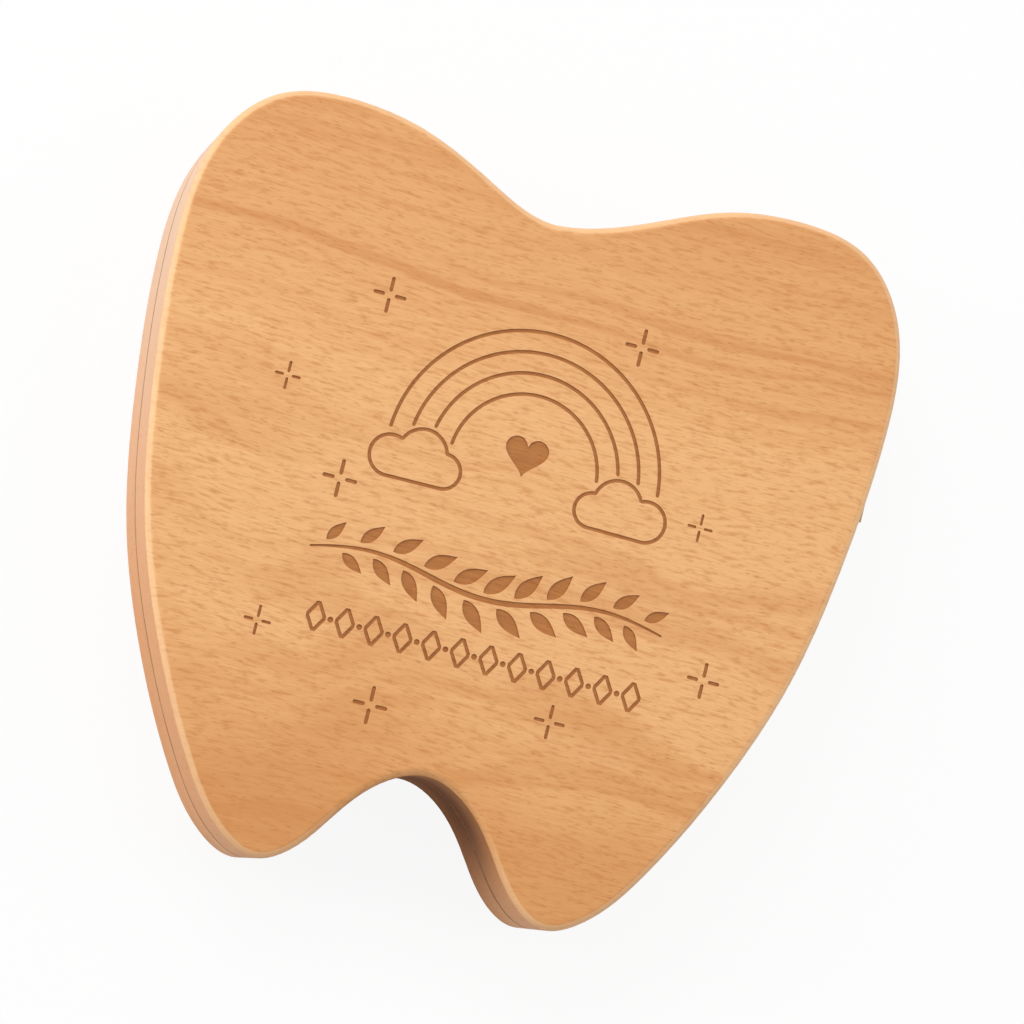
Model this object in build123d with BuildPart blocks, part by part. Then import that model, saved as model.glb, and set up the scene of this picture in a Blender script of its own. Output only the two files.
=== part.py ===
"""A baby tooth box in solid beech, shaped like a milk molar and hinged like a book.

Two halves of the same outline meet at a seam half way up. The lower half is drilled with
twenty wells, one for each milk tooth, round a capped hollow for a keepsake. The upper half
is the lid, with a hollow over that cap. Two small brass butt hinges join the halves on the
right-hand side, and two pairs of disc magnets hold them shut on the left.

The box lies flat. +Z is up through the lid, +Y runs from the roots to the crown, and the
origin is the middle of the underside. All sizes are in millimetres.
"""

import math
import os

from build123d import *

os.makedirs("parts", exist_ok=True)

# The tooth outline
tooth_width = 123.0
tooth_length = 124.6

# The right half of the outline, from the dip in the crown to the top of the notch between
# the roots, as shares of half the width and half the length
outline_shares = [
    (0, 0.819),
    (0.216, 0.884),
    (0.433, 0.974),
    (0.626, 1.0),
    (0.829, 0.960),
    (0.945, 0.835),
    (1.0, 0.50),
    (0.967, 0.138),
    (0.898, -0.217),
    (0.782, -0.522),
    (0.626, -0.811),
    (0.504, -0.955),
    (0.398, -1.0),
    (0.300, -0.948),
    (0.207, -0.828),
    (0.112, -0.728),
    (0, -0.686),
]

# The two halves
base_height = 15.0
lid_height = 15.0
outer_round = 1.4  # on the edges of the top and of the underside
seam_round = 0.7  # on the outer edges that meet at the seam
overrun = 1.0  # how far a cut runs past the face it starts from

# The tooth wells, in two rows of ten round an oval
wells_per_jaw = 10
well_diameter = 9.4
well_depth = 9.5
well_corner = 1.6  # the round of the cutter's nose
well_mouth_chamfer = 0.5
oval_half_width = 45.5
oval_half_length = 37.0
oval_centre_y = 4.2
jaw_gap_share = 0.5  # the extra gap between the two rows, as a share of a step

# The keepsake hollow and its cap
hollow_radius = 16.5
hollow_depth = 7.0  # below the cap's seat
hollow_corner = 2.0
cap_radius = 19.0
cap_thickness = 4.0
cap_edge_round = 0.6
cap_clearance = 0.3
scoop_radius = 7.0  # the thumb scoop beside the cap
scoop_depth = 6.5
scoop_corner = 1.5
lid_hollow_margin = 4.0  # how much wider the lid's hollow is than the cap
lid_hollow_depth = 11.0
lid_hollow_corner = 1.5

# The butt hinges
hinge_length = 10.0
hinge_spacing = 19.0
hinge_rise = 1.2  # how far the pair's middle lies above the widest point
leaf_reach = 8.3  # from the pin's axis to the leaf's inner edge
leaf_thickness = 0.8
leaf_setback = 0.05  # below the face it is let into
leaf_side_clearance = 0.1
leaf_corner = 0.8
barrel_radius = 1.1
barrel_wall_gap = 0.2
knuckle_gap = 0.15
knuckle_count = 3
pin_radius = 0.5
pin_clearance = 0.05
pin_end_length = 0.3
pin_end_round = 0.2

# The hinge screws
screw_head_radius = 1.5
screw_head_height = 0.7
screw_shank_radius = 0.75
screw_length = 6.0
screw_point_length = 1.6
screw_clearance = 0.05
screw_spacing = 5.6
screw_edge_distance = 3.2  # from the leaf's inner edge
recess_width = 0.35
recess_length = 1.7
recess_depth = 0.4

# The magnets
magnet_radius = 3.0
magnet_thickness = 2.0
magnet_clearance = 0.05
magnet_edge_chamfer = 0.2
magnet_side_distance = 8.0  # the upper pair, in from the widest point of the free side
lower_magnet_side_distance = 23.0
lower_magnet_tip_distance = 22.3  # up from the tips of the roots

seam_z = base_height
top_z = base_height + lid_height
half_width = tooth_width / 2
half_length = tooth_length / 2
widest_y = half_length * outline_shares[6][1]
hinge_axis_x = half_width + barrel_wall_gap + barrel_radius
leaf_inner_x = hinge_axis_x - leaf_reach
hinge_centres = {
    "upper": widest_y + hinge_rise + hinge_spacing / 2,
    "lower": widest_y + hinge_rise - hinge_spacing / 2,
}
knuckle_step = hinge_length / knuckle_count
screw_x = leaf_inner_x + screw_edge_distance
magnet_places = {
    "upper": (-half_width + magnet_side_distance, widest_y),
    "lower": (
        -half_width + lower_magnet_side_distance,
        -half_length + lower_magnet_tip_distance,
    ),
}
seat_radius = cap_radius + cap_clearance
hollow_centre = (0, oval_centre_y)
cap_bottom_z = seam_z - cap_thickness
up, down = 1, -1  # the lid's side of the seam and the base's


def well_centres():
    """The wells' centres, evenly spaced along an oval, the upper row first."""
    places = []
    step = 180 / (wells_per_jaw + jaw_gap_share)
    flatness = (oval_half_width - oval_half_length) / (oval_half_width + oval_half_length)
    for middle in (90, -90):
        for place in range(wells_per_jaw):
            angle = math.radians(middle + (place - (wells_per_jaw - 1) / 2) * step)
            turn = angle + flatness / 2 * math.sin(2 * angle)
            places.append(
                (
                    oval_half_width * math.cos(turn),
                    oval_centre_y + oval_half_length * math.sin(turn),
                )
            )
    return places


def tooth_outline(plane):
    """The tooth's face on a plane: one closed spline, the same left and right."""
    right = [(x * half_width, y * half_length) for x, y in outline_shares]
    left = [(-x, y) for x, y in reversed(right[1:-1])]
    with BuildSketch(plane) as face:
        with BuildLine():
            Spline(*right, *left, periodic=True)
        make_face()
    return face.sketch


def round_pocket(radius, depth, corner, mouth_chamfer):
    """A cutter for a round pocket that hangs below the origin, with a rounded floor."""
    with BuildPart(mode=Mode.PRIVATE) as cutter:
        with BuildSketch(Plane.XZ):
            with BuildLine():
                Polyline(
                    (0, overrun),
                    (radius + mouth_chamfer + overrun, overrun),
                    (radius, -mouth_chamfer),
                    (radius, -depth + corner),
                )
                RadiusArc((radius, -depth + corner), (radius - corner, -depth), corner)
                Polyline((radius - corner, -depth), (0, -depth), (0, overrun))
            make_face()
        revolve(axis=Axis.Z)
    return cutter.part


def screw_profile(clearance):
    """Half of a countersunk wood screw's section on XZ, with its head's top at the origin."""
    head = screw_head_radius + clearance
    shank = screw_shank_radius + clearance
    with BuildSketch(Plane.XZ) as section:
        with BuildLine():
            Polyline(
                (0, 0),
                (head, 0),
                (shank, -screw_head_height),
                (shank, -screw_length + screw_point_length),
                (0, -screw_length - clearance),
                close=True,
            )
        make_face()
    return section.sketch


def screw_hole():
    """A cutter for a countersunk screw's hole, run out past the head's top."""
    with BuildPart(mode=Mode.PRIVATE) as cutter:
        add(screw_profile(screw_clearance))
        revolve(axis=Axis.Z)
        Cylinder(
            screw_head_radius + screw_clearance,
            overrun,
            align=(Align.CENTER, Align.CENTER, Align.MIN),
        )
    return cutter.part


def screw_places(side):
    """Where the screws of one half go: their heads' tops lie in the leaf's outer face."""
    z = seam_z + side * leaf_setback
    turn = 180 if side == up else 0
    return {
        f"{hinge}_{end}": Location((screw_x, centre + way * screw_spacing / 2, z), (turn, 0, 0))
        for hinge, centre in hinge_centres.items()
        for end, way in (("back", 1), ("front", -1))
    }


def cut_pilot_holes(side):
    """Cuts the hinge screws' holes into the bare block."""
    with Locations(*screw_places(side).values()):
        add(screw_hole(), mode=Mode.SUBTRACT)


def cut_hardware_seats(side):
    """Cuts the hinge mortises and the magnet pockets into the open block."""
    depth = leaf_thickness + leaf_setback
    reach = half_width - leaf_inner_x + leaf_side_clearance
    for centre in hinge_centres.values():
        with Locations((half_width - reach, centre, seam_z)):
            Box(
                reach + overrun,
                hinge_length + 2 * leaf_side_clearance,
                2 * depth,
                align=(Align.MIN, Align.CENTER, Align.CENTER),
                mode=Mode.SUBTRACT,
            )
    for x, y in magnet_places.values():
        with Locations((x, y, seam_z)):
            Cylinder(
                magnet_radius + magnet_clearance,
                2 * (magnet_thickness + magnet_clearance),
                mode=Mode.SUBTRACT,
            )


# The lower half: a block of beech with the wells and the keepsake hollow milled into it
with BuildPart() as base:
    add(tooth_outline(Plane.XY))
    extrude(amount=base_height)
    cut_pilot_holes(down)
    fillet(base.faces().sort_by(Axis.Z)[0].outer_wire().edges(), outer_round)
    fillet(base.faces().sort_by(Axis.Z)[-1].outer_wire().edges(), seam_round)
    with Locations(*[(x, y, seam_z) for x, y in well_centres()]):
        add(
            round_pocket(well_diameter / 2, well_depth, well_corner, well_mouth_chamfer),
            mode=Mode.SUBTRACT,
        )
    with Locations((*hollow_centre, seam_z)):
        add(
            round_pocket(hollow_radius, cap_thickness + hollow_depth, hollow_corner, 0),
            mode=Mode.SUBTRACT,
        )
    with BuildSketch(Plane.XY.offset(seam_z)):
        with Locations(hollow_centre):
            Circle(seat_radius)
    extrude(amount=-cap_thickness, mode=Mode.SUBTRACT)
    with Locations((0, oval_centre_y - seat_radius, seam_z)):
        add(
            round_pocket(scoop_radius, scoop_depth, scoop_corner, well_mouth_chamfer),
            mode=Mode.SUBTRACT,
        )
    cut_hardware_seats(down)
base.part.label = "base"
export_step(base.part, "parts/base.step")

# The upper half: the same outline, with a hollow above the cap
with BuildPart() as lid:
    add(tooth_outline(Plane.XY.offset(seam_z)))
    extrude(amount=lid_height)
    cut_pilot_holes(up)
    fillet(lid.faces().sort_by(Axis.Z)[-1].outer_wire().edges(), outer_round)
    fillet(lid.faces().sort_by(Axis.Z)[0].outer_wire().edges(), seam_round)
    with Locations(Location((*hollow_centre, seam_z), (180, 0, 0))):
        add(
            round_pocket(
                cap_radius + lid_hollow_margin,
                lid_hollow_depth,
                lid_hollow_corner,
                well_mouth_chamfer,
            ),
            mode=Mode.SUBTRACT,
        )
    cut_hardware_seats(up)
lid.part.label = "lid"
export_step(lid.part, "parts/lid.step")

# The cap: a turned beech disc that drops into the seat over the keepsake hollow
with BuildPart() as keepsake_cap:
    with Locations((*hollow_centre, cap_bottom_z)):
        Cylinder(cap_radius, cap_thickness, align=(Align.CENTER, Align.CENTER, Align.MIN))
    fillet(keepsake_cap.edges().filter_by(GeomType.CIRCLE), cap_edge_round)
keepsake_cap.part.label = "keepsake_cap"
export_step(keepsake_cap.part, "parts/keepsake_cap.step")


def knuckle_spans(centre, side):
    """The lengths of barrel that belong to one leaf: the outer ones to the base's leaf."""
    spans = []
    for number in range(knuckle_count):
        if (number % 2 == 0) == (side == down):
            start = centre - hinge_length / 2 + number * knuckle_step
            low = start + (knuckle_gap / 2 if number else 0)
            high = start + knuckle_step - (knuckle_gap / 2 if number < knuckle_count - 1 else 0)
            spans.append((low, high))
    return spans


def hinge_leaf(centre, side):
    """One brass leaf of a butt hinge, with its knuckles round the pin's axis."""
    face_z = seam_z + side * leaf_setback
    plate_x = hinge_axis_x - barrel_radius - barrel_wall_gap
    with BuildPart() as leaf:
        with BuildSketch(Plane.XY.offset(face_z)) as plate:
            with Locations((leaf_inner_x, centre)):
                Rectangle(plate_x - leaf_inner_x, hinge_length, align=(Align.MIN, Align.CENTER))
            fillet(plate.vertices().group_by(Axis.X)[0], leaf_corner)
        extrude(amount=side * leaf_thickness)
        for low, high in knuckle_spans(centre, side):
            with Locations((plate_x - leaf_corner, low, face_z)):
                Box(
                    hinge_axis_x - plate_x + leaf_corner,
                    high - low,
                    leaf_thickness,
                    align=(Align.MIN, Align.MIN, Align.MIN if side == up else Align.MAX),
                )
            with BuildSketch(Plane.XZ.offset(-low)):
                with Locations((hinge_axis_x, seam_z)):
                    Circle(barrel_radius)
            extrude(amount=-(high - low))
        with BuildSketch(Plane.XZ.offset(-centre)):
            with Locations((hinge_axis_x, seam_z)):
                Circle(pin_radius + pin_clearance)
        extrude(amount=hinge_length, both=True, mode=Mode.SUBTRACT)
        with Locations(*screw_places(side).values()):
            add(screw_hole(), mode=Mode.SUBTRACT)
    return leaf.part


def hinge_pin(centre):
    """A plain brass pin with slightly rounded ends, a little longer than the barrel."""
    with BuildPart() as pin:
        with BuildSketch(Plane.XZ.offset(-centre)):
            with Locations((hinge_axis_x, seam_z)):
                Circle(pin_radius)
        extrude(amount=hinge_length / 2 + pin_end_length, both=True)
        fillet(pin.edges().filter_by(GeomType.CIRCLE), pin_end_round)
    return pin.part


def wood_screw(place):
    """A small countersunk brass screw with a cross recess in its head."""
    with BuildPart(mode=Mode.PRIVATE) as screw:
        add(screw_profile(0))
        revolve(axis=Axis.Z)
        for turn in (0, 90):
            with Locations(Location((0, 0, 0), (0, 0, turn))):
                Box(recess_length, recess_width, 2 * recess_depth, mode=Mode.SUBTRACT)
    return screw.part.moved(place)


def disc_magnet(x, y, side):
    """A flat disc magnet, set just below the face it is glued into."""
    low = seam_z + magnet_clearance if side == up else seam_z - magnet_clearance - magnet_thickness
    with BuildPart() as magnet:
        with Locations((x, y, low)):
            Cylinder(
                magnet_radius, magnet_thickness, align=(Align.CENTER, Align.CENTER, Align.MIN)
            )
        chamfer(magnet.edges().filter_by(GeomType.CIRCLE), magnet_edge_chamfer)
    return magnet.part


# The hardware: the lid's half turns about the pins, which stay in the base's leaves
hardware = {}
for half, side in (("base", down), ("lid", up)):
    for hinge, centre in hinge_centres.items():
        hardware[f"{half}_leaf_{hinge}"] = hinge_leaf(centre, side)
    for name, place in screw_places(side).items():
        hardware[f"{half}_screw_{name}"] = wood_screw(place)
    for name, (x, y) in magnet_places.items():
        hardware[f"{half}_magnet_{name}"] = disc_magnet(x, y, side)
for hinge, centre in hinge_centres.items():
    hardware[f"hinge_pin_{hinge}"] = hinge_pin(centre)

for name, piece in hardware.items():
    piece.label = name
    export_step(piece, f"parts/{name}.step")
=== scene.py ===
import math

import bmesh
import bpy
from mathutils import Matrix, Vector


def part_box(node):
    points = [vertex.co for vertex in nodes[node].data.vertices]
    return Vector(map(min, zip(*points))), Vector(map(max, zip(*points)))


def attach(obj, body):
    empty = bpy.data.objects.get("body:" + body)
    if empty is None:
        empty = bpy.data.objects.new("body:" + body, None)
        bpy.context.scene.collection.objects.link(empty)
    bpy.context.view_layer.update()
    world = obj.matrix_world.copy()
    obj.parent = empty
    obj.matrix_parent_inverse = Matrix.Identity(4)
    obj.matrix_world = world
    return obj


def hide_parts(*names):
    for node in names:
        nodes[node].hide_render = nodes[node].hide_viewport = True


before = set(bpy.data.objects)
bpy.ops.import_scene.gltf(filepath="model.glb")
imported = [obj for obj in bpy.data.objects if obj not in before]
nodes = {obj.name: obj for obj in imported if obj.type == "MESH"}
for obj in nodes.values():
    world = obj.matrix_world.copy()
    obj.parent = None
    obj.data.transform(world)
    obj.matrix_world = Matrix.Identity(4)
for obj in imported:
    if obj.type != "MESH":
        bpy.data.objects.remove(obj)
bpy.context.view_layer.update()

MM = 0.001


# ---- The studio ----------------------------------------------------------------------
# A pale sheet under the box and an even pale sky, with three broad soft lamps: the key high
# on the crown side, a low one that catches the left edge, and a weak one on the right. The
# camera's place and turn were fitted to the photograph.

camera_data = bpy.data.cameras.new("studio_camera")
camera_data.sensor_width = 36.0
camera_data.lens = 177.13
camera_data.clip_start = 0.05
camera_data.clip_end = 20.0
camera = bpy.data.objects.new("studio_camera", camera_data)
camera.location = (-128.789 * MM, -83.728 * MM, 841.885 * MM)
camera.rotation_euler = [math.radians(a) for a in (3.62045, -10.38239, 13.95809)]
bpy.context.scene.collection.objects.link(camera)
bpy.context.scene.camera = camera


class Finish:
    """A socket in a finish's node tree. Sums on it add Math nodes to that tree."""

    def __init__(self, tree, made=None, key=0):
        self.tree = tree
        self.made = made
        self.key = key

    def output(self, key):
        """Another output of the same node."""
        return Finish(self.tree, self.made, key)

    def put(self, made, values):
        """Sets or links a node's inputs."""
        for name, value in values.items():
            if isinstance(value, Finish):
                self.tree.links.new(value.made.outputs[value.key], made.inputs[name])
            else:
                made.inputs[name].default_value = value

    def node(self, kind, settings=None, values=None, out=0):
        """Adds a node: its settings first, then the values or links of its sockets."""
        made = self.tree.nodes.new(kind)
        for name, value in (settings or {}).items():
            setattr(made, name, value)
        self.put(made, values or {})
        return Finish(self.tree, made, out)

    def sum(self, operation, first, second=0.0):
        """A Math node on one or two values."""
        return self.node("ShaderNodeMath", {"operation": operation}, {0: first, 1: second})

    def __add__(self, other):
        return self.sum("ADD", self, other)

    __radd__ = __add__

    def __mul__(self, other):
        return self.sum("MULTIPLY", self, other)

    __rmul__ = __mul__

    def __sub__(self, other):
        return self.sum("SUBTRACT", self, other)

    def __rsub__(self, other):
        return self.sum("SUBTRACT", other, self)

    def __abs__(self):
        return self.sum("ABSOLUTE", self)

    def __pow__(self, exponent):
        return self.sum("POWER", self, exponent)

    def ramp(self, low, high):
        """0 up to low, 1 from high on, and a soft step between them."""
        settings = {"interpolation_type": "SMOOTHSTEP"}
        values = {"Value": self, "From Min": low, "From Max": high}
        return self.node("ShaderNodeMapRange", settings, values)

    def blend(self, first, second):
        """The first colour where this is 0 and the second where it is 1."""
        values = {0: self, 6: first, 7: second}
        return self.node("ShaderNodeMix", {"data_type": "RGBA"}, values, 2)

    def parts(self):
        """The x, y and z of a vector, or the red, green and blue of a colour."""
        split = self.node("ShaderNodeSeparateXYZ", None, {0: self})
        return [split.output(axis) for axis in range(3)]

    def noise(self, x, y, z, detail=2.0, roughness=0.5):
        """Cloudy values from 0 to 1 at the point (x, y, z)."""
        point = self.node("ShaderNodeCombineXYZ", None, {0: x, 1: y, 2: z})
        values = {"Vector": point, "Scale": 1.0, "Detail": detail, "Roughness": roughness}
        return self.node("ShaderNodeTexNoise", None, values)


def paint(red, green, blue):
    """A colour given as it looks on a screen, from 0 to 255, made linear."""
    def linear(value):
        share = value / 255
        return share / 12.92 if share <= 0.04045 else ((share + 0.055) / 1.055) ** 2.4

    return (linear(red), linear(green), linear(blue), 1.0)


def new_finish(name):
    """An empty material with its tree and its shader."""
    material = bpy.data.materials.new(name)
    material.use_nodes = True
    shader = material.node_tree.nodes["Principled BSDF"]
    return material, Finish(material.node_tree), shader


def millimetres(tree):
    """The x, y and z on the piece itself, in millimetres."""
    on_piece = tree.node("ShaderNodeTexCoord", out="Object")
    return [axis * 1000.0 for axis in on_piece.parts()]


SHEET_HALF = 2.5
SHEET_DROP = 0.05 * MM  # so that the sheet and the box's underside don't coincide
sheet_mesh = bpy.data.meshes.new("studio_sheet")
corners = [
    (x * SHEET_HALF, y * SHEET_HALF, 0) for x, y in ((-1, -1), (1, -1), (1, 1), (-1, 1))
]
sheet_mesh.from_pydata(corners, [], [(0, 1, 2, 3)])
sheet = bpy.data.objects.new("studio_sheet", sheet_mesh)
sheet.location.z = -SHEET_DROP
bpy.context.scene.collection.objects.link(sheet)

SHEET_GLOW = 0.9  # how much of the sheet's white doesn't take the shadow
SHEEN_LOW = 0.15  # how bright the sheet looks in reflections on the root side
SHEEN_HIGH = 1.0  # and on the crown side
SHEEN_START = (-10.0, 110.0)  # it grows between these places along Y, in millimetres
sheet_white, tree, shader = new_finish("studio_sheet_white")
tree.put(shader, {"Base Color": (0.95, 0.95, 0.95, 1.0), "Roughness": 0.9})
tree.put(shader, {"Specular IOR Level": 0.0})
rays = tree.node("ShaderNodeLightPath")
mirrored = rays.output("Is Glossy Ray") + rays.output("Is Transmission Ray")
sheen = SHEEN_LOW + (SHEEN_HIGH - SHEEN_LOW) * millimetres(tree)[1].ramp(*SHEEN_START)
glow_share = rays.output("Is Camera Ray") * SHEET_GLOW + mirrored * sheen
glow = tree.node("ShaderNodeEmission", None, {"Color": (1, 1, 1, 1), "Strength": 1.0})
values = {0: glow_share, 1: Finish(tree.tree, shader), 2: glow}
mixed = tree.node("ShaderNodeMixShader", None, values)
tree.put(sheet_white.node_tree.nodes["Material Output"], {"Surface": mixed})
sheet_mesh.materials.append(sheet_white)


def soft_lamp(name, place, size, power):
    """A square area lamp that hangs at a place and points at the box."""
    lamp_data = bpy.data.lights.new(name, "AREA")
    lamp_data.shape = "SQUARE"
    lamp_data.size = size
    lamp_data.energy = power
    lamp = bpy.data.objects.new(name, lamp_data)
    lamp.location = place
    lamp.rotation_euler = (-Vector(place)).to_track_quat("-Z", "Y").to_euler()
    bpy.context.scene.collection.objects.link(lamp)


soft_lamp("key_lamp", (-0.35, 0.75, 1.0), size=0.9, power=6.6)
soft_lamp("left_lamp", (-1.0, 0.25, 0.35), size=0.8, power=6.0)
soft_lamp("fill_lamp", (0.8, 0.3, 1.0), size=0.9, power=2.7)

SKY_STRENGTH = 0.45
sky = bpy.data.worlds.new("studio_sky")
sky.use_nodes = True
background = sky.node_tree.nodes["Background"]
background.inputs["Color"].default_value = (1, 1, 1, 1)
background.inputs["Strength"].default_value = SKY_STRENGTH
bpy.context.scene.world = sky
bpy.context.scene.view_settings.view_transform = "Standard"


# ---- The lower half ------------------------------------------------------------------
# A slab of solid beech, sawn flat from the plank and cut to the tooth's outline, with the
# wells and the keepsake hollow milled into it. Sanded and lightly oiled.

BEECH_LIGHT = paint(246, 188, 128)
BEECH_MID = paint(235, 171, 109)
BEECH_DARK = paint(208, 134, 72)
BEECH_HEART = paint(220, 152, 90)
BEECH_FLECK = paint(184, 114, 58)
BEECH_END = paint(216, 146, 84)
# a painted sheen that makes the end grain paler towards the crown
BEECH_END_SHEEN = paint(224, 190, 162)
# a painted highlight on the eased edges
BEECH_EDGE_HIGHLIGHT = paint(255, 212, 164)
# painted shade in the seam between the halves
SEAM_SHADE = paint(66, 34, 12)
# painted shade on the walls in the notch
NOTCH_SHADE = paint(104, 52, 14)
BURNT = paint(188, 118, 54)
BURNT_DEEP = paint(166, 97, 40)

# Places on a board, in millimetres
SEAM_HEIGHT = 15.0
GRAIN_WANDER = 7.0  # how far the grain wanders sideways
RING_WANDER = 9.0  # how far a growth ring strays from round
HEART_WANDER = 30.0  # how far the edges of the darker heartwood wander
PALE_MIDDLE = -4.0  # the middle of the palest band along Y
PALE_REACH = (6.0, 44.0)  # it fades between these distances from its middle
HEART_EDGE = (-14.0, 12.0)  # the heartwood fades between these, past its own place
CROWN_HEART = (16.0, 54.0)  # a weaker band of heartwood grows towards the crown
END_SHEEN_RISE = (-35.0, 50.0)  # a painted sheen makes the end grain paler between these places along Y
HIGHLIGHT_OFF_SEAM = (1.0, 3.0)  # the painted highlight on an eased edge starts only this far from the seam
NOTCH_MOUTH = (-63.0, -46.0)  # the painted shade in the notch grows between these along Y
NOTCH_END = (-41.5, -39.5)  # it ends between these
NOTCH_SIDE = (12.0, 24.0)  # and between these distances from the middle
NOTCH_SHADE_REACH = (1.0, 14.0)  # it is deepest at the seam and eases off over this height
SEAM_SHADE_REACH = (0.1, 1.1)  # painted shade lies along the seam, within this distance

# How much of its colour each mark takes over
HEART_SHARE = 0.75
CROWN_HEART_SHARE = 0.5
STREAK_SHARE = 0.35
HAIR_SHARE = 0.3
DASH_SHARE = 0.62
FLECK_SHARE = 0.38
PORE_SHARE = 0.3
END_SHARE = 0.35
END_SHARE_SIDES = 0.45
EDGE_HIGHLIGHT_SHARE = 0.5
EDGE_HIGHLIGHT_LOST_IN_NOTCH = 0.4
NOTCH_SHADE_SHARE = 0.6
NOTCH_SHADE_AT_SEAM = 0.3
SEAM_SHADE_SHARE = 0.75
BURN_SHARE = 0.9


def beech(name, board_shift, pith, heart_y, burnt=False):
    """Solid beech with its grain along X: growth bands, fibres and short ray flecks, with
    painted sheen, highlights and shade on its walls, edges and seam.
    """
    material, tree, shader = new_finish(name)
    on_piece = millimetres(tree)
    x, y, z = (axis + shift for axis, shift in zip(on_piece, board_shift))
    y = y + (tree.noise(x * 0.013, y * 0.02, z * 0.02) - 0.5) * GRAIN_WANDER
    pith_y, pith_depth = pith
    across = y - (board_shift[1] + pith_y)
    depth = z - (board_shift[2] - pith_depth)
    radius = (across ** 2.0 + depth ** 2.0) ** 0.5

    def grain(along, aside, detail=2.0, roughness=0.5):
        """Cloudy values with a scale along the grain and one across it."""
        return tree.noise(x * along, y * aside, z * aside, detail, roughness)

    ring = radius + grain(0.009, 0.03, 3.0) * RING_WANDER
    bands = tree.noise(ring * 0.2, 3.1, 7.7, 3.0, 0.6)
    fine_bands = tree.noise(ring * 0.8, x * 0.01, 2.9, 3.0, 0.6)
    fibre = grain(0.06, 1.5, 3.0, 0.65)
    hair = grain(0.25, 4.5, 2.0, 0.6)
    cloud = grain(0.02, 0.035)

    # the board's colour: pale, with darker heartwood, streaks and hairs
    middle = 1 - abs(on_piece[1] - PALE_MIDDLE).ramp(*PALE_REACH)
    light = bands * 0.5 + fine_bands * 0.45 + fibre * 0.5 + cloud * 0.3 + middle * 0.26
    colour = light.ramp(0.66, 1.1).blend(BEECH_MID, BEECH_LIGHT)
    wander = (cloud - 0.5) * HEART_WANDER
    heart = 1 - (y - (board_shift[1] + heart_y) + wander).ramp(*HEART_EDGE)
    heart = heart + (on_piece[1] + wander).ramp(*CROWN_HEART) * CROWN_HEART_SHARE
    streak = (1 - fine_bands).ramp(0.44, 0.66) * (1 - bands).ramp(0.42, 0.62)
    colour = (heart * HEART_SHARE).blend(colour, BEECH_HEART)
    colour = (streak * (STREAK_SHARE + heart * STREAK_SHARE)).blend(colour, BEECH_DARK)
    colour = ((1 - hair).ramp(0.42, 0.75) * HAIR_SHARE).blend(colour, BEECH_DARK)

    # short dark dashes and flecks, which are rays cut through
    dashes = tree.noise(x * 0.34, across * 1.7, depth * 0.3, 3.0, 0.6).ramp(0.46, 0.74)
    colour = (dashes * DASH_SHARE).blend(colour, BEECH_DARK)
    values = {0: x * 0.5, 1: across * 2.2, 2: depth * 0.2}
    point = tree.node("ShaderNodeCombineXYZ", None, values)
    cells = tree.node("ShaderNodeTexVoronoi", None, {"Vector": point, "Scale": 1.0})
    chance = cells.output("Color").parts()[0]
    flecks = (1 - cells.output("Distance").ramp(0.1, 0.36)) * chance.ramp(0.3, 0.95)
    colour = (flecks * FLECK_SHARE).blend(colour, BEECH_FLECK)

    # the walls show end grain with a painted sheen towards the crown, and the eased edges
    # get a painted highlight
    facing = tree.node("ShaderNodeTexCoord", out="Normal").parts()
    level = abs(facing[2])
    wall = 1 - level.ramp(0.1, 0.5)
    pores = grain(1.2, 6.0, 2.0, 0.6)
    # painted sheen: the end grain turns paler towards the crown
    end_colour = on_piece[1].ramp(*END_SHEEN_RISE).blend(BEECH_END, BEECH_END_SHEEN)
    end_colour = ((1 - pores).ramp(0.4, 0.8) * PORE_SHARE).blend(end_colour, BEECH_DARK)
    end_share = END_SHARE + abs(facing[0]).ramp(0.3, 0.9) * END_SHARE_SIDES
    colour = (wall * end_share).blend(colour, end_colour)
    from_seam = abs(on_piece[2] - SEAM_HEIGHT)
    # painted highlight: the eased edges are paler, less so in the notch
    eased = level.ramp(0.1, 0.5) * (1 - level.ramp(0.9, 0.99))
    eased = eased * from_seam.ramp(*HIGHLIGHT_OFF_SEAM)
    in_notch = on_piece[1].ramp(*NOTCH_MOUTH) * (1 - on_piece[1].ramp(*NOTCH_END))
    in_notch = in_notch * (1 - abs(on_piece[0]).ramp(*NOTCH_SIDE))
    edge_highlight_share = EDGE_HIGHLIGHT_SHARE - in_notch * EDGE_HIGHLIGHT_LOST_IN_NOTCH
    colour = (eased * edge_highlight_share).blend(colour, BEECH_EDGE_HIGHLIGHT)

    # painted shade darkens the walls in the notch, and lies along the seam
    near_seam = 1 - from_seam.ramp(*NOTCH_SHADE_REACH)
    notch_shade_share = NOTCH_SHADE_SHARE + near_seam * NOTCH_SHADE_AT_SEAM
    colour = (in_notch * wall * notch_shade_share).blend(colour, NOTCH_SHADE)
    # painted shade along the seam, on the walls only
    seam_shade = (1 - from_seam.ramp(*SEAM_SHADE_REACH)) * (1 - level.ramp(0.8, 0.97))
    colour = (seam_shade * SEAM_SHADE_SHARE).blend(colour, SEAM_SHADE)
    if burnt:
        char = (fibre * 0.6 + hair * 0.4).ramp(0.3, 0.7).blend(BURNT_DEEP, BURNT)
        colour = ((flecks + 1.0) * BURN_SHARE).blend(colour, char)

    tree.put(shader, {"Base Color": colour, "Specular IOR Level": 0.35})
    tree.put(shader, {"Roughness": 0.4 + fibre * 0.16 + flecks * 0.1 + in_notch * 0.3})
    height = fibre * 0.4 + hair * 0.4 - flecks * 0.6 - dashes * 0.4
    values = {"Strength": 0.22, "Distance": 0.12 * MM, "Height": height}
    tree.put(shader, {"Normal": tree.node("ShaderNodeBump", None, values)})
    return material


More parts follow.
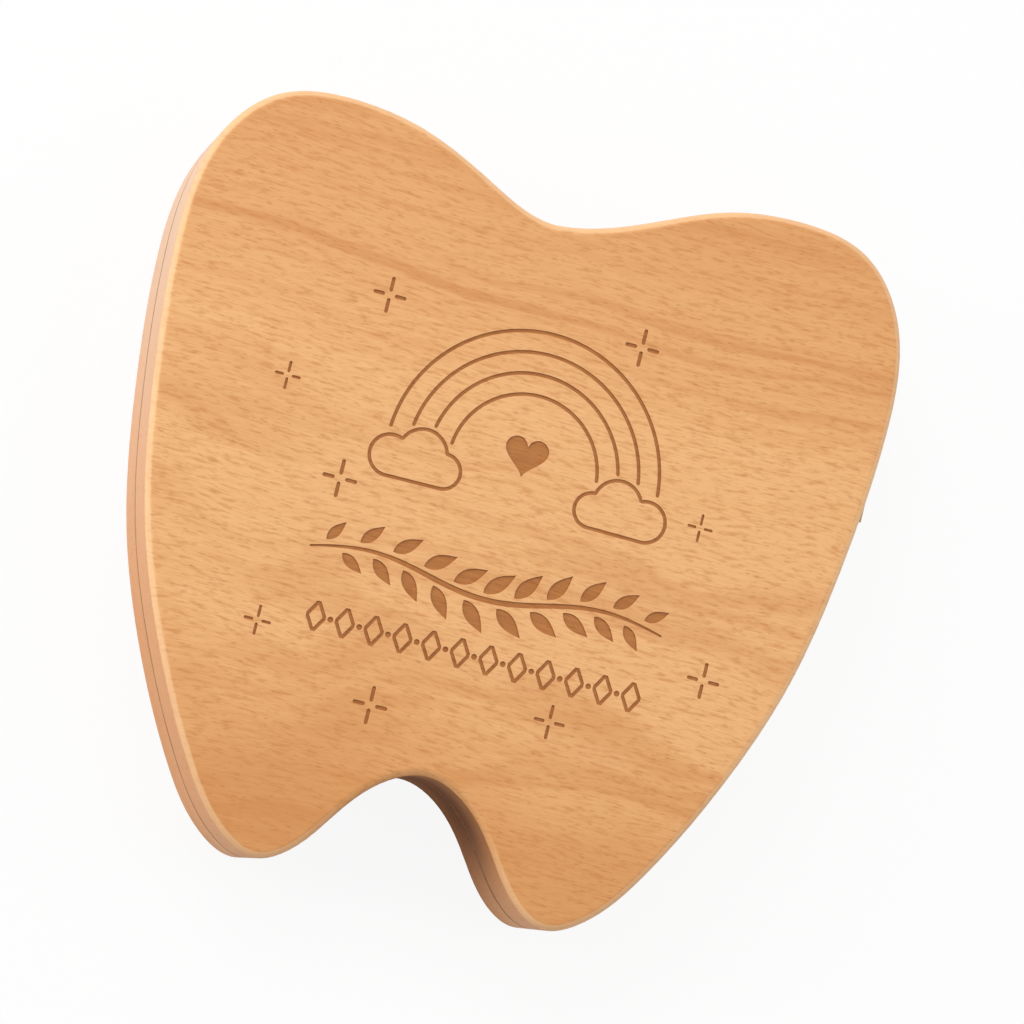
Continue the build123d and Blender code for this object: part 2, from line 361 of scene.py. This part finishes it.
# Where in its plank each half was cut: the shift of the pattern, the pith beside and below
# the board, and the edge of the heartwood
LID_BOARD = ((0.0, 0.0, 0.0), (-22.0, 96.0), -40.0)
BASE_BOARD = ((310.0, 47.0, 120.0), (14.0, 84.0), -60.0)
lid_beech = beech("lid_beech", *LID_BOARD)
lid_burnt = beech("lid_beech_burnt", *LID_BOARD, burnt=True)
base_beech = beech("base_beech", *BASE_BOARD)
base_burnt = beech("base_beech_burnt", *BASE_BOARD, burnt=True)


def prism(mesh, outline, low, high):
    """Adds a closed prism between two heights. Its outline may turn either way."""
    sides = zip(outline, outline[1:] + outline[:1])
    turn = sum((b[0] - a[0]) * (b[1] + a[1]) for a, b in sides)
    if turn > 0:
        outline = outline[::-1]
    floor = [mesh.verts.new((x, y, low)) for x, y in outline]
    roof = [mesh.verts.new((x, y, high)) for x, y in outline]
    mesh.faces.new(floor[::-1])
    mesh.faces.new(roof)
    for here in range(len(outline)):
        there = (here + 1) % len(outline)
        mesh.faces.new((floor[here], floor[there], roof[there], roof[here]))


CAP_SIDES = 5  # points on the round end of a line


def ribbon(mesh, points, widths, low, high, closed=False):
    """Adds a line of some width, with round ends, as a closed solid between two heights."""
    count = len(points)
    sides = ([], [])
    for place, (x, y) in enumerate(points):
        before = points[place - 1] if closed or place else points[0]
        after = points[(place + 1) % count] if closed or place < count - 1 else points[-1]
        run = Vector((after[0] - before[0], after[1] - before[1])).normalized()
        half = widths[place] / 2
        for side, way in zip(sides, (1, -1)):
            side.append((x - way * run.y * half, y + way * run.x * half))
    if not closed:
        caps = []
        for end, neighbour in ((-1, -2), (0, 1)):
            x, y = points[end]
            run = Vector((x - points[neighbour][0], y - points[neighbour][1]))
            start = math.atan2(run.y, run.x)
            half = widths[end] / 2
            turns = [90 - 180 * n / (CAP_SIDES + 1) for n in range(1, CAP_SIDES + 1)]
            angles = [start + math.radians(turn) for turn in turns]
            caps.append([(x + half * math.cos(a), y + half * math.sin(a)) for a in angles])
        prism(mesh, sides[0] + caps[0] + sides[1][::-1] + caps[1], low, high)
        return
    rings = []
    for side in sides:
        for height in (low, high):
            rings.append([mesh.verts.new((x, y, height)) for x, y in side])
    left_low, left_high, right_low, right_high = rings
    for here in range(count):
        there = (here + 1) % count
        for a, b in (
            (left_low, left_high),
            (left_high, right_high),
            (right_high, right_low),
            (right_low, left_low),
        ):
            mesh.faces.new((a[here], a[there], b[there], b[here]))


LEVEL = 0.9999  # the least upward share of a level face's normal
WELD = 0.002 * MM
SHARP_ANGLE = math.radians(28)


def frozen(piece):
    """The piece's mesh with its modifiers worked in."""
    view = bpy.context.evaluated_depsgraph_get()
    done = bpy.data.meshes.new_from_object(piece.evaluated_get(view))
    piece.modifiers.clear()
    return done


def engrave(node, name, cutter, board, burnt):
    """A copy of a wooden half with the cutter's shapes burnt into it."""
    bmesh.ops.recalc_face_normals(cutter, faces=cutter.faces)
    cutter_mesh = bpy.data.meshes.new(name + "_cutter")
    cutter.to_mesh(cutter_mesh)
    cutter.free()
    cutter_mesh.materials.append(burnt)
    tool = bpy.data.objects.new(name + "_cutter", cutter_mesh)
    bpy.context.scene.collection.objects.link(tool)

    slab = bmesh.new()
    slab.from_mesh(nodes[node].data)
    bmesh.ops.remove_doubles(slab, verts=slab.verts, dist=WELD)
    slab_mesh = bpy.data.meshes.new(name)
    slab.to_mesh(slab_mesh)
    slab.free()
    slab_mesh.materials.clear()
    slab_mesh.materials.append(board)
    piece = bpy.data.objects.new(name, slab_mesh)
    bpy.context.scene.collection.objects.link(piece)

    cut = piece.modifiers.new("burnt_lines", "BOOLEAN")
    cut.operation = "DIFFERENCE"
    cut.solver = "EXACT"
    cut.use_self = True
    cut.material_mode = "TRANSFER"
    cut.object = tool
    piece.data = frozen(piece)
    bpy.data.objects.remove(tool)
    piece.data.shade_smooth()
    piece.data.set_sharp_from_angle(angle=SHARP_ANGLE)
    weigh = piece.modifiers.new("even_shading", "WEIGHTED_NORMAL")
    weigh.keep_sharp = True
    weigh.weight = 100  # by area alone
    piece.data = frozen(piece)

    # the level faces are quite flat, whatever their neighbours do
    normals = [corner.vector.copy() for corner in piece.data.corner_normals]
    for face in piece.data.polygons:
        if abs(face.normal.z) > LEVEL:
            for corner in face.loop_indices:
                normals[corner] = face.normal.copy()
    piece.data.normals_split_custom_set(normals)
    return piece


# The numbers beside the wells: plain figures, one for each milk tooth
WELLS_PER_JAW = 10
OVAL = (45.5 * MM, 37.0 * MM)
OVAL_Y = 4.2 * MM
JAW_GAP = 0.5  # the extra gap between the two rows, as a share of a step
NUMBER_INSET = 7.7 * MM  # from a well's middle towards the middle of the oval
NUMBER_SIZE = 3.9 * MM
NUMBER_STEPS = 4  # points on each curve of a figure
NUMBER_WELD = 0.005 * MM
NUMBER_DEPTH = 0.22 * MM
CLEAR = 0.5 * MM  # how far a cutter stands above the wood
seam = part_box("base")[1].z

figures = bmesh.new()
step = 180 / (WELLS_PER_JAW + JAW_GAP)
flatness = (OVAL[0] - OVAL[1]) / (OVAL[0] + OVAL[1])
for number in range(2 * WELLS_PER_JAW):
    jaw, place = divmod(number, WELLS_PER_JAW)
    middle = -90 if jaw else 90
    way = 1 if jaw else -1
    angle = math.radians(middle + way * (place - (WELLS_PER_JAW - 1) / 2) * step)
    turn = angle + flatness / 2 * math.sin(2 * angle)
    across, along = OVAL[0] * math.cos(turn), OVAL[1] * math.sin(turn)
    inward = -Vector((across, along)).normalized() * NUMBER_INSET
    figure = bpy.data.curves.new("figure", "FONT")
    figure.body = str(number + 1)
    figure.size = NUMBER_SIZE
    figure.align_x = "CENTER"
    figure.align_y = "CENTER"
    figure.resolution_u = NUMBER_STEPS
    figure.extrude = (NUMBER_DEPTH + CLEAR) / 2
    holder = bpy.data.objects.new("figure", figure)
    solid = bpy.data.meshes.new_from_object(holder)
    height = seam + (CLEAR - NUMBER_DEPTH) / 2
    place = (across + inward.x, OVAL_Y + along + inward.y, height)
    solid.transform(Matrix.Translation(place))
    figures.from_mesh(solid)
    bpy.data.objects.remove(holder)
bmesh.ops.remove_doubles(figures, verts=figures.verts, dist=NUMBER_WELD)

base = engrave("base", "drilled_base", figures, base_beech, base_burnt)
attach(base, "base")
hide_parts("base")


# ---- The lid -------------------------------------------------------------------------
# The other slab, from another part of the plank, with a laser-burnt design on its face: a
# rainbow between two clouds, a small heart, a leafy sprig, a row of lozenges and nine
# sparkles.

LINE = 0.6 * MM
BURN_DEPTH = 0.25 * MM
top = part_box("lid")[1].z
burn_low, burn_high = top - BURN_DEPTH, top + CLEAR
design = bmesh.new()


def line(points, width=LINE, closed=False):
    """A burnt line through points in millimetres, of one width or a width at each point."""
    widths = width if isinstance(width, list) else [width] * len(points)
    places = [(x * MM, y * MM) for x, y in points]
    ribbon(design, places, widths, burn_low, burn_high, closed)


def patch(points):
    """A burnt area inside an outline in millimetres."""
    prism(design, [(x * MM, y * MM) for x, y in points], burn_low, burn_high)


def arc(centre, radius, start, end, steps):
    """Points in millimetres along an arc, from one angle in degrees to another."""
    x, y = centre
    angles = [math.radians(start + (end - start) * n / steps) for n in range(steps + 1)]
    return [(x + radius * math.cos(a), y + radius * math.sin(a)) for a in angles]


# Nine sparkles, each of four short strokes round a bare middle: (x, y, size)
SPARKLES = (
    (-25.3, 32.3, 1.0),
    (-38.4, 15.2, 0.78),
    (17.6, 34.7, 1.05),
    (-26.0, 1.0, 1.05),
    (34.2, 8.2, 0.78),
    (-33.5, -24.8, 0.82),
    (40.7, -16.2, 1.0),
    (-12.2, -33.7, 1.05),
    (17.3, -29.1, 0.95),
)
SPARKLE_TALL = (0.85, 2.75)  # where the strokes up and down start and end
SPARKLE_WIDE = (1.15, 2.5)
for x, y, size in SPARKLES:
    for way in (1, -1):
        tall = [(x, y + way * size * reach) for reach in SPARKLE_TALL]
        wide = [(x + way * size * reach, y) for reach in SPARKLE_WIDE]
        line(tall, LINE * size)
        line(wide, LINE * size)

# The rainbow: four arcs that stop just short of a cloud at each foot
BOW_CENTRE = (3.0, 10.0)
BOW_RADII = (12.5, 16.0, 19.5, 23.0)
BOW_SPAN = (-12, 192)
BOW_STEPS = 102
CLOUD_GAP = 0.95
CLOUD_DROP = 3.6  # below the middle of the bow
CLOUD_PUFFS = ((-5.0, 0.0, 2.9), (-1.0, 1.9, 4.1), (4.2, 0.4, 3.4))  # (x, y, radius)
PUFF_STEPS = 72
TOUCH = 0.001  # so that the places where two puffs cross are kept
bow_x, bow_y = BOW_CENTRE
cloud_x = sum(BOW_RADII) / len(BOW_RADII)
clouds = [
    [(bow_x + side * (cloud_x + x), bow_y - CLOUD_DROP + y, r) for x, y, r in CLOUD_PUFFS]
    for side in (-1, 1)
]


def outside(point, puffs, gap):
    """Whether a point is farther than a gap from every puff."""
    return all(math.dist(point, (x, y)) > r + gap for x, y, r in puffs)


for radius in BOW_RADII:
    points = arc(BOW_CENTRE, radius, *BOW_SPAN, BOW_STEPS)
    line([point for point in points if outside(point, clouds[0] + clouds[1], CLOUD_GAP)])
for puffs in clouds:
    puffs = sorted(puffs)
    left, right = puffs[0][0], puffs[-1][0]
    edge = []
    for x, y, r in puffs[::-1]:
        others = [puff for puff in puffs if puff != (x, y, r)]
        for point in arc((x, y), r, -90, 270, PUFF_STEPS):
            inside_foot = point[1] < y and left < point[0] < right
            if outside(point, others, -TOUCH) and not inside_foot:
                edge.append(point)
    middle_x = sum(point[0] for point in edge) / len(edge)
    middle_y = sum(point[1] for point in edge) / len(edge)
    edge.sort(key=lambda point: math.atan2(point[1] - middle_y, point[0] - middle_x))
    line(edge, closed=True)

# A heart under the bow, filled. Its height follows a sum of cosines, as hearts often do
HEART_SIZE = 0.23
HEART_RISE = 2.6  # above the middle of the bow
HEART_POINTS = 48
heart = []
for n in range(HEART_POINTS):
    a = 2 * math.pi * n / HEART_POINTS
    tall = 13 * math.cos(a) - 5 * math.cos(2 * a) - 2 * math.cos(3 * a) - math.cos(4 * a)
    x = bow_x + HEART_SIZE * 16 * math.sin(a) ** 3
    heart.append((x, bow_y + HEART_RISE + HEART_SIZE * tall))
patch(heart)

# The sprig: a waved stem that swells towards the middle, with filled leaves on both sides
SPRIG_X = (-28.0, 32.0)
SPRIG_Y = -10.8
SPRIG_WAVE = 1.5  # how far the stem swings up and down
SPRIG_WAVES = 1.5  # how many waves it makes
SPRIG_STEPS = 90
STEM_THIN = 0.35
STEM_SWELL = 0.6
LEAF_LENGTH = 6.2
LEAF_LEAST = 0.65  # the length of the end leaves, as a share of the longest
LEAF_SHARE = 0.2  # half a leaf's width, as a share of its length
LEAF_BELLY = 0.8  # below 1, a leaf is widest near its foot
LEAF_POINTS = 12
LEAF_STEP = 5.4  # between two leaves on one side
LEAF_TILT = math.radians(42)
LEAF_AHEAD = 0.5  # how far ahead the stem's direction is read
LEAF_OFF_STEM = 1.05
LEAVES_START = 2.5  # from the left end of the stem
LEAVES_END = 2.0  # from its right end
sprig_left, sprig_right = SPRIG_X
sprig_length = sprig_right - sprig_left


def sprig_point(x):
    """The point of the stem above or below a place along X."""
    share = (x - sprig_left) / sprig_length
    return (x, SPRIG_Y + SPRIG_WAVE * math.sin(2 * math.pi * share * SPRIG_WAVES))


shares = [n / SPRIG_STEPS for n in range(SPRIG_STEPS + 1)]
stem = [sprig_point(sprig_left + sprig_length * share) for share in shares]
line(stem, [MM * (STEM_THIN + STEM_SWELL * math.sin(math.pi * s)) for s in shares])


def leaf(x, y, angle, length):
    """A pointed leaf that starts at a point and grows in the direction of an angle."""
    run = Vector((math.cos(angle), math.sin(angle)))
    side = Vector((-run.y, run.x))
    shares = [n / LEAF_POINTS for n in range(LEAF_POINTS + 1)]
    points = []
    for way, order in ((1, shares), (-1, shares[-2:0:-1])):
        for share in order:
            width = way * length * LEAF_SHARE * math.sin(math.pi * share ** LEAF_BELLY)
            points.append(tuple(Vector((x, y)) + run * length * share + side * width))
    patch(points)


leaf_x = sprig_left + LEAVES_START
side = 1
while leaf_x < sprig_right - LEAVES_END:
    x, y = sprig_point(leaf_x)
    ahead = sprig_point(leaf_x + LEAF_AHEAD)
    along = math.atan2(ahead[1] - y, ahead[0] - x)
    swell = math.sin(math.pi * (leaf_x - sprig_left) / sprig_length)
    off = side * LEAF_OFF_STEM
    length = LEAF_LENGTH * (LEAF_LEAST + (1 - LEAF_LEAST) * swell)
    foot = (x - off * math.sin(along), y + off * math.cos(along))
    leaf(*foot, along + side * LEAF_TILT, length)
    side = -side
    leaf_x += LEAF_STEP / 2

# The row of lozenges and dots under it
ROW_X = 2.6
ROW_Y = -21.8
ROW_STEP = 4.9
ROW_COUNT = 12
LOZENGE = (1.5, 2.5)  # half its width and half its height
LOZENGE_SHARES = (0.08, 0.5, 0.92)  # the points on a side, which soften its corners
DOT_RADIUS = 0.48
DOT_POINTS = 24
wide, tall = LOZENGE
for n in range(ROW_COUNT):
    x = ROW_X + (n - (ROW_COUNT - 1) / 2) * ROW_STEP
    tips = [(x + wide, ROW_Y), (x, ROW_Y + tall), (x - wide, ROW_Y), (x, ROW_Y - tall)]
    points = []
    for (ax, ay), (bx, by) in zip(tips, tips[1:] + tips[:1]):
        points += [(ax + (bx - ax) * s, ay + (by - ay) * s) for s in LOZENGE_SHARES]
    line(points, closed=True)
    if n < ROW_COUNT - 1:
        last = 360 - 360 / DOT_POINTS
        patch(arc((x + ROW_STEP / 2, ROW_Y), DOT_RADIUS, 0, last, DOT_POINTS - 1))

lid = engrave("lid", "burnt_lid", design, lid_beech, lid_burnt)
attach(lid, "lid")
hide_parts("lid")


# ---- The keepsake cap ----------------------------------------------------------------
# A turned disc of beech that drops into its seat over the middle hollow. Its edges are
# eased with sandpaper, and it is lifted out by a fingertip in the scoop.

CAP_BOARD = ((150.0, 210.0, 60.0), (-8.0, 70.0), -90.0)


def dress(node, finish):
    """Gives a CAD node its finish."""
    node.data.materials.clear()
    node.data.materials.append(finish)


dress(nodes["keepsake_cap"], beech("cap_beech", *CAP_BOARD))


# ---- The hinges ----------------------------------------------------------------------
# Two small butt hinges in rolled brass. Each leaf is let into the wood and held by two
# countersunk screws, and its knuckles turn on a plain drawn pin.

BRASS = paint(190, 154, 98)
BRASS_DULL = paint(160, 124, 74)
SCREW_BRASS = paint(176, 140, 88)


def brass(name, colour, dull, roughness):
    """Rolled brass with fine scratches along the leaf and a little tarnish in patches."""
    material, tree, shader = new_finish(name)
    x, y, z = millimetres(tree)
    scratch = tree.noise(x * 7.0, y * 0.5, z * 7.0, 3.0, 0.6)
    tarnish = tree.noise(x * 0.5, y * 0.5, z * 0.5, 3.0, 0.6)
    tree.put(shader, {"Base Color": tarnish.ramp(0.45, 0.75).blend(colour, dull)})
    tree.put(shader, {"Roughness": roughness + scratch * 0.18 + tarnish * 0.12})
    tree.put(shader, {"Metallic": 1.0})
    values = {"Strength": 0.15, "Distance": 0.04 * MM, "Height": scratch}
    tree.put(shader, {"Normal": tree.node("ShaderNodeBump", None, values)})
    return material


brass_finishes = {
    "leaf": brass("hinge_brass", BRASS, BRASS_DULL, 0.2),
    "pin": brass("pin_brass", BRASS, BRASS_DULL, 0.14),
    "screw": brass("screw_brass", SCREW_BRASS, BRASS_DULL, 0.16),
}
for kind, finish in brass_finishes.items():
    for name, node in nodes.items():
        if kind in name:
            dress(node, finish)


# ---- The magnets ---------------------------------------------------------------------
# Four nickel-plated discs, glued into blind holes so that each pair meets face to face
# when the lid is shut.

NICKEL = paint(176, 175, 173)
NICKEL_DULL = paint(146, 144, 141)
magnet_nickel, tree, shader = new_finish("magnet_nickel")
smudge = tree.noise(*[axis * 0.6 for axis in millimetres(tree)], 3.0, 0.6)
tree.put(shader, {"Base Color": smudge.ramp(0.4, 0.75).blend(NICKEL, NICKEL_DULL)})
tree.put(shader, {"Roughness": 0.16 + smudge * 0.22, "Metallic": 1.0})
for name, node in nodes.items():
    if "magnet" in name:
        dress(node, magnet_nickel)
